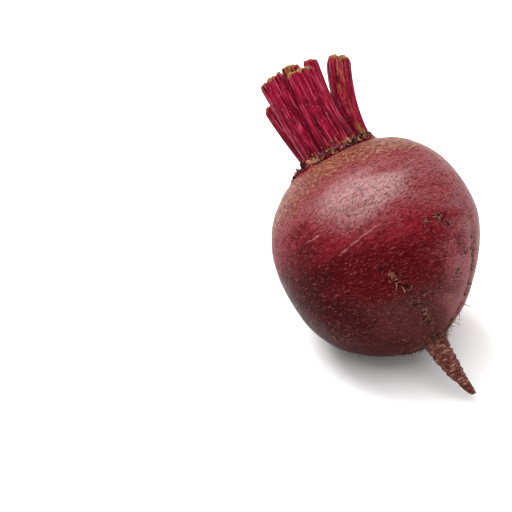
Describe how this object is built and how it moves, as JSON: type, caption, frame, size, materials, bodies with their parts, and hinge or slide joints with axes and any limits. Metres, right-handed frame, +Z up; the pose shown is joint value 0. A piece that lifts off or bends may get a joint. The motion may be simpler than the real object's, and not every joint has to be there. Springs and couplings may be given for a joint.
{
  "type": "beetroot",
  "caption": "Round whole beetroot lying on its side, with a tapering tail root and ribbed leaf stalks cut short above a scaly crown.",
  "frame": {"origin": "middle of the flat spot that the root lies on, on the surface", "axes": "+Z up; +X the way the tail points, along the length of the beetroot as it lies, with the cut stalks towards -X"},
  "size_m": [0.1244, 0.0776, 0.0913],
  "materials": {
    "beet_skin": "satin, dry skin",
    "crown_cork": "matt, corky",
    "stalk_skin": "satin, ribbed"
  },
  "bodies": {
    "root": {"root": "beet_skin", "crown": "crown_cork", "stalk_1_side": "stalk_skin", "stalk_2_front": "stalk_skin", "stalk_3_inner": "stalk_skin", "stalk_4_left": "stalk_skin", "stalk_5_middle": "stalk_skin", "stalk_6_low_left": "stalk_skin", "stalk_7_back": "stalk_skin", "stalk_8_low_back": "stalk_skin"}
  },
  "joints": []
}
